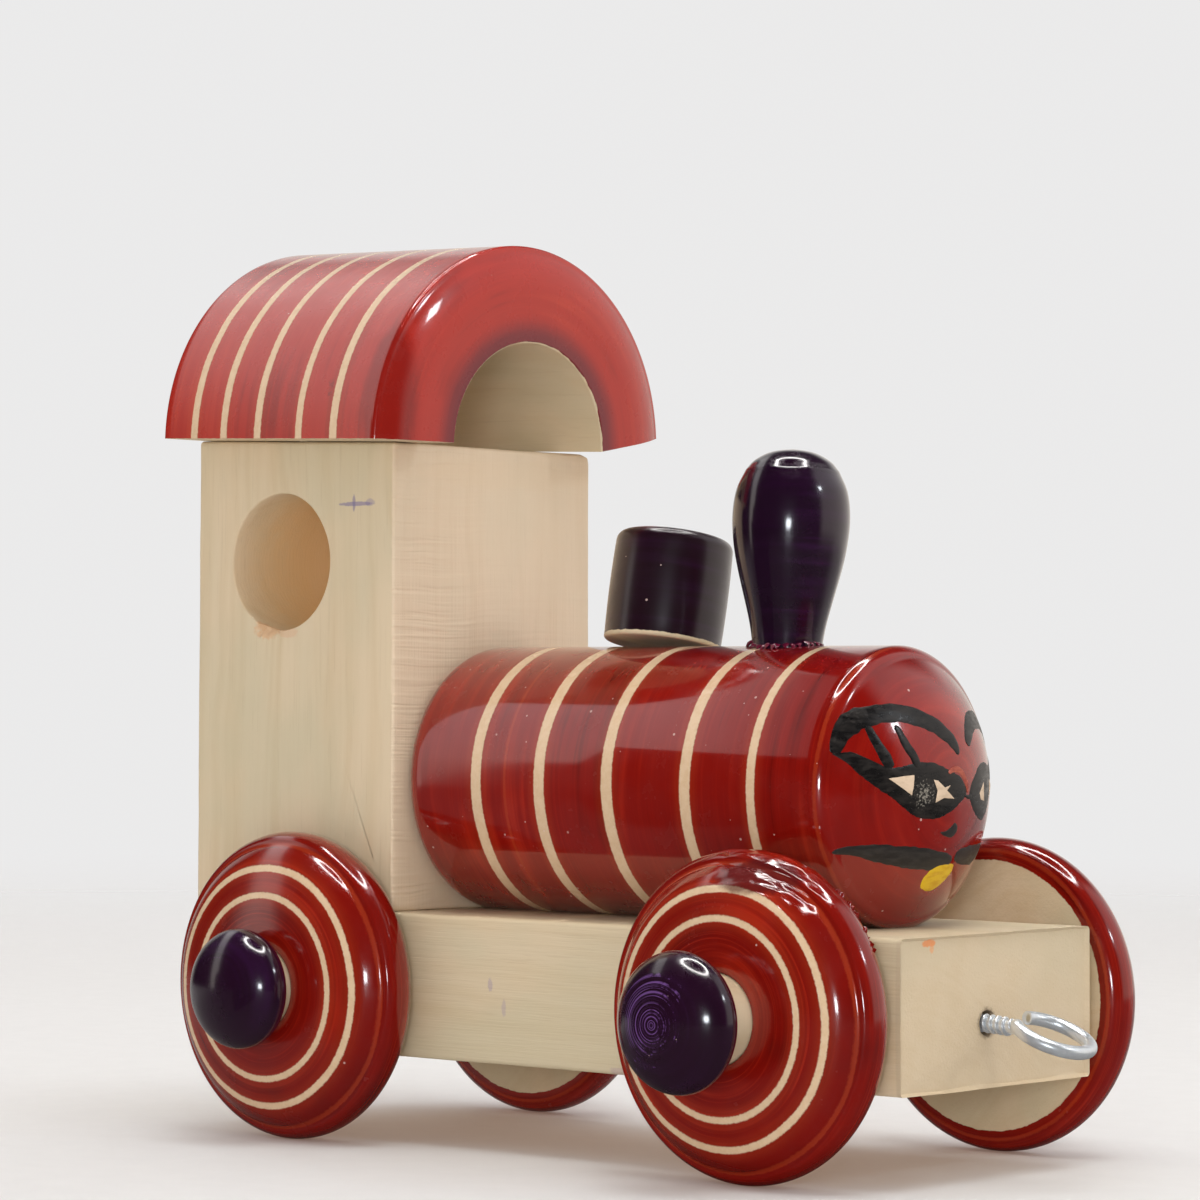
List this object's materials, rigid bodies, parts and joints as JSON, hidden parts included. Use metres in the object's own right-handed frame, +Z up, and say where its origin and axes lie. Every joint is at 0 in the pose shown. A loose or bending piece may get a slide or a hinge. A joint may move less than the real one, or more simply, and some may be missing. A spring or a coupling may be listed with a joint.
{
  "type": "toy train locomotive",
  "caption": "Wooden pull-along toy locomotive: sawn beam and cab, lacquered boiler, arched roof, funnels and free-turning wheels on domed pegs.",
  "frame": {"origin": "on the floor, below the middle of the locomotive's box", "axes": "+X forward towards the boiler's nose, +Y to the engine's left, +Z up"},
  "size_m": [0.1808, 0.1122, 0.1603],
  "materials": {
    "bare_wood": "sawn, unvarnished pale hardwood",
    "dowel_wood": "plain round dowel",
    "red_lacquer": "turned hardwood under gloss red lacquer with pale bands",
    "purple_lacquer": "turned hardwood under gloss dark purple lacquer",
    "zinc_steel": "bright zinc plate"
  },
  "bodies": {
    "engine": {"chassis_beam": "bare_wood", "cab_block": "bare_wood", "roof_arch": "red_lacquer", "boiler": "red_lacquer", "steam_dome": "purple_lacquer", "smoke_stack": "purple_lacquer", "screw_eye": "zinc_steel", "cab_front_dowel": "dowel_wood", "cab_rear_dowel": "dowel_wood", "boiler_front_dowel": "dowel_wood", "boiler_rear_dowel": "dowel_wood", "roof_right_dowel": "dowel_wood", "roof_left_dowel": "dowel_wood", "front_right_peg": "purple_lacquer", "front_left_peg": "purple_lacquer", "rear_right_peg": "purple_lacquer", "rear_left_peg": "purple_lacquer"},
    "front_right_roller": {"front_right_wheel": "red_lacquer"},
    "front_left_roller": {"front_left_wheel": "red_lacquer"},
    "rear_right_roller": {"rear_right_wheel": "red_lacquer"},
    "rear_left_roller": {"rear_left_wheel": "red_lacquer"}
  },
  "joints": [
    {"name": "front_right_spin", "type": "hinge", "parent": "engine", "child": "front_right_roller", "pos_m": [0.0446, -0.035, 0.027], "axis": [0, 1, 0], "continuous": true},
    {"name": "front_left_spin", "type": "hinge", "parent": "engine", "child": "front_left_roller", "pos_m": [0.0446, 0.038, 0.027], "axis": [0, 1, 0], "continuous": true},
    {"name": "rear_right_spin", "type": "hinge", "parent": "engine", "child": "rear_right_roller", "pos_m": [-0.0585, -0.035, 0.027], "axis": [0, 1, 0], "continuous": true},
    {"name": "rear_left_spin", "type": "hinge", "parent": "engine", "child": "rear_left_roller", "pos_m": [-0.0585, 0.038, 0.027], "axis": [0, 1, 0], "continuous": true}
  ]
}
